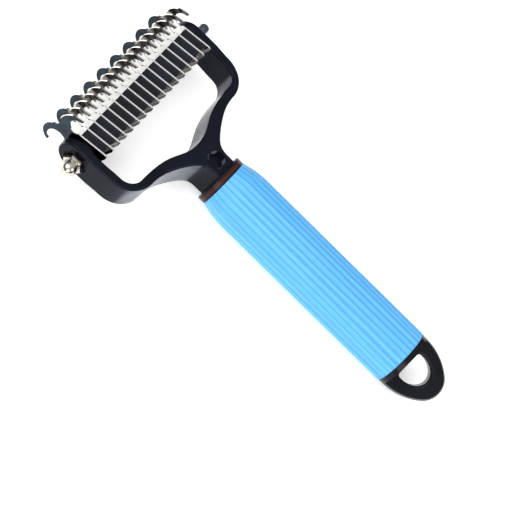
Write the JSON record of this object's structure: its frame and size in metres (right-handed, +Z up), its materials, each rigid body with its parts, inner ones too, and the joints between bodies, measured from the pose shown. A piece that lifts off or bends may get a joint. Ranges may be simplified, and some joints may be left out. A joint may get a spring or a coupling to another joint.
{
  "type": "dematting comb",
  "caption": "Hand comb with a stack of double-sided hooked steel blades on a cross rod in a plastic fork, a ribbed soft grip and a hanging loop.",
  "frame": {"origin": "on the surface that the tool lies on, under the middle of its bounding box", "axes": "+Y from the tail loop to the blades, +X along the rod from the cap nut to the rod's free end, +Z up, out of the side with the full row of hooks"},
  "size_m": [0.09, 0.17, 0.0259],
  "materials": {
    "blade_steel": "polished stainless steel",
    "rod_steel": "bright zinc-plated steel",
    "nut_chrome": "bright nickel plate",
    "fork_black": "satin moulded polypropylene",
    "collar_black": "fine textured polypropylene",
    "loop_black": "satin moulded polypropylene",
    "spacer_black": "fine textured plastic",
    "washer_black": "plain black nylon",
    "grip_blue": "satin thermoplastic rubber with fine lengthwise ribs"
  },
  "bodies": {
    "handle": {"fork_and_core": "fork_black", "collar_ring": "collar_black", "grip_sleeve": "grip_blue", "tail_loop": "loop_black", "through_rod": "rod_steel", "cap_nut": "nut_chrome", "lock_nut": "nut_chrome", "end_washer_near": "washer_black", "end_washer_far": "washer_black"},
    "head": {"blade_01": "blade_steel", "blade_02": "blade_steel", "blade_03": "blade_steel", "blade_04": "blade_steel", "blade_05": "blade_steel", "blade_06": "blade_steel", "blade_07": "blade_steel", "blade_08": "blade_steel", "blade_09": "blade_steel", "blade_10": "blade_steel", "blade_11": "blade_steel", "blade_12": "blade_steel", "blade_13": "blade_steel", "blade_14": "blade_steel", "blade_15": "blade_steel", "blade_16": "blade_steel", "blade_17": "blade_steel", "spacer_01": "spacer_black", "spacer_02": "spacer_black", "spacer_03": "spacer_black", "spacer_04": "spacer_black", "spacer_05": "spacer_black", "spacer_06": "spacer_black", "spacer_07": "spacer_black", "spacer_08": "spacer_black", "spacer_09": "spacer_black", "spacer_10": "spacer_black", "spacer_11": "spacer_black", "spacer_12": "spacer_black", "spacer_13": "spacer_black", "spacer_14": "spacer_black", "spacer_15": "spacer_black", "spacer_16": "spacer_black"}
  },
  "joints": [
    {"name": "head_tilt", "type": "hinge", "parent": "handle", "child": "head", "pos_m": [0, 0.06811, 0.0117], "axis": [1, 0, 0], "continuous": true}
  ]
}
